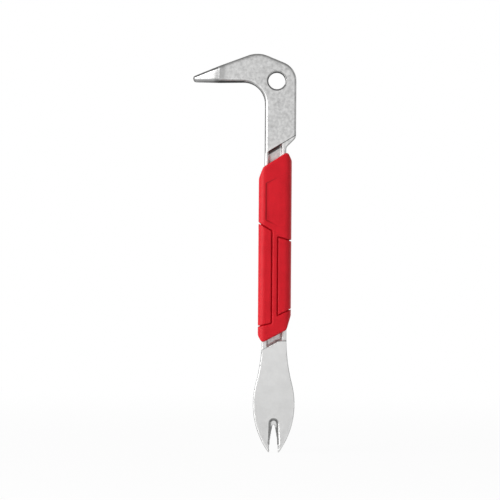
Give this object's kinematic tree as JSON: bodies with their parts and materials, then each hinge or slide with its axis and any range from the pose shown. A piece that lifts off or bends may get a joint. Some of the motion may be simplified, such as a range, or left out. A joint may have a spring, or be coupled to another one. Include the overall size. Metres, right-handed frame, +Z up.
{
  "type": "pry bar",
  "caption": "Nail-pulling pry bar: forged steel with a right-angled nail claw, a hanging hole, an I-beam shank in a moulded grip, and a spoon-shaped nail fork.",
  "frame": {"origin": "centre of the hanging hole, on the mid-plane of the head plate", "axes": "+Z up along the shank, -X towards the claw's tips, -Y out of the hanging hole on the dished side of the fork"},
  "size_m": [0.066, 0.0228, 0.254],
  "materials": {
    "bar_steel": "forged and shot-blasted, thin satin plating, ground bright at the claw's tips",
    "core_plastic": "hard first shot, as moulded",
    "grip_rubber": "soft red moulded rubber, satin",
    "pad_rubber": "soft red moulded rubber, satin"
  },
  "bodies": {
    "root": {"forged_bar": "bar_steel", "grip_core": "core_plastic", "grip_cover": "grip_rubber", "left_pad": "pad_rubber", "right_pad": "pad_rubber"}
  },
  "joints": []
}
